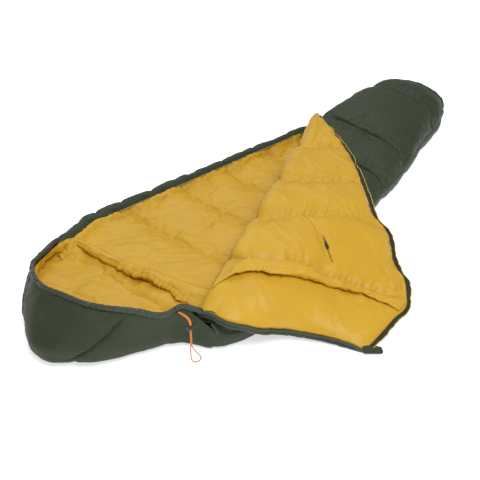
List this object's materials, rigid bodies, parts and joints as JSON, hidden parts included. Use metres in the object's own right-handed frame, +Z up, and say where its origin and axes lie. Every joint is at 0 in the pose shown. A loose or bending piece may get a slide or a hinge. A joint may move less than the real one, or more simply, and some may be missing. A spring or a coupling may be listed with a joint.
{
  "type": "mummy sleeping bag",
  "caption": "Quilted mummy sleeping bag lying flat, its side zip open and the front panel's corner folded back over the side, with hood, draft collars, drawcord and cord lock.",
  "frame": {"origin": "on the surface the bag lies on, on its centre line, at mid-length", "axes": "+Y from the hood to the foot, +X towards the side without a zip, +Z up"},
  "size_m": [1.0981, 2.2273, 0.188],
  "materials": {
    "shell_cloth": "dark olive green nylon taffeta, slightly shiny, crinkled",
    "lining_cloth": "mustard yellow polyester taffeta with a soft sheen",
    "filling": "white polyester wadding",
    "black_tape": "matt black woven tape",
    "zip_coil": "yellow nylon zip coil",
    "zip_metal": "dark lacquered zinc",
    "black_plastic": "black moulded plastic",
    "orange_cord": "orange braided cord",
    "label_cloth": "pale satin label, plain"
  },
  "bodies": {
    "root": {"base_shell": "shell_cloth", "base_fill": "filling", "base_lining": "lining_cloth", "cover_shell": "shell_cloth", "cover_fill": "filling", "cover_lining": "lining_cloth", "foot_shell": "shell_cloth", "foot_fill": "filling", "foot_lining": "lining_cloth", "hood_shell": "shell_cloth", "hood_fill": "filling", "hood_lining": "lining_cloth", "hood_hem": "shell_cloth", "hood_drawcord": "orange_cord", "hood_eyelet": "zip_metal", "hood_cord": "orange_cord", "back_collar_cover": "lining_cloth", "back_collar_fill": "filling", "back_collar_elastic": "black_tape", "back_zip_tape": "black_tape", "back_zip_coil": "zip_coil", "foot_zip_tape": "black_tape", "foot_zip_coil": "zip_coil", "zip_bottom_stop": "zip_metal", "hang_loops": "black_tape", "side_label": "label_cloth", "tab_landing_patch": "black_tape"},
    "flap": {"flap_shell": "shell_cloth", "flap_fill": "filling", "flap_lining": "lining_cloth", "neck_hem": "shell_cloth", "flap_zip_tape": "black_tape", "flap_zip_coil": "zip_coil", "front_collar_cover": "lining_cloth", "front_collar_fill": "filling", "front_collar_elastic": "black_tape", "hook_tab": "shell_cloth", "pocket_bag": "lining_cloth", "pocket_zip_tape": "black_tape", "pocket_zip_coil": "black_tape"},
    "zip_slider": {"zip_slider": "zip_metal"},
    "zip_puller": {"zip_puller": "zip_metal"},
    "pocket_slider": {"pocket_slider": "zip_metal"},
    "pocket_puller": {"pocket_puller": "black_plastic"},
    "lock_barrel": {"lock_barrel": "black_plastic", "lock_spring": "zip_metal"},
    "lock_plunger": {"lock_plunger": "black_plastic"}
  },
  "joints": [
    {"name": "flap_fold", "type": "hinge", "parent": "root", "child": "flap", "pos_m": [0.25, -0.76, 0.122], "axis": [0.356, -0.9345, 0], "range_deg": [0, 185]},
    {"name": "zip_slide", "type": "slide", "parent": "root", "child": "zip_slider", "axis": [-0.124, -0.9923, 0], "range_m": [0, 1]},
    {"name": "zip_pull", "type": "hinge", "parent": "zip_slider", "child": "zip_puller", "pos_m": [-0.22575, 0.43, 0.08], "axis": [-0.9923, 0.124, 0], "range_deg": [0, 120]},
    {"name": "pocket_slide", "type": "slide", "parent": "flap", "child": "pocket_slider", "axis": [0.7495, -0.5309, -0.3956], "range_m": [-0.03, 0.04]},
    {"name": "pocket_pull", "type": "hinge", "parent": "pocket_slider", "child": "pocket_puller", "pos_m": [0.38038, -0.30952, 0.1323], "axis": [0.578, 0.816, 0], "range_deg": [0, 150]},
    {"name": "lock_slide", "type": "slide", "parent": "root", "child": "lock_barrel", "axis": [0, 0, -1], "range_m": [0, 0.045]},
    {"name": "lock_press", "type": "slide", "parent": "lock_barrel", "child": "lock_plunger", "axis": [0, -1, 0], "range_m": [0, 0.004], "stiffness_N_per_m": 800, "springref_m": -0.002, "deforming": ["lock_spring"]}
  ]
}
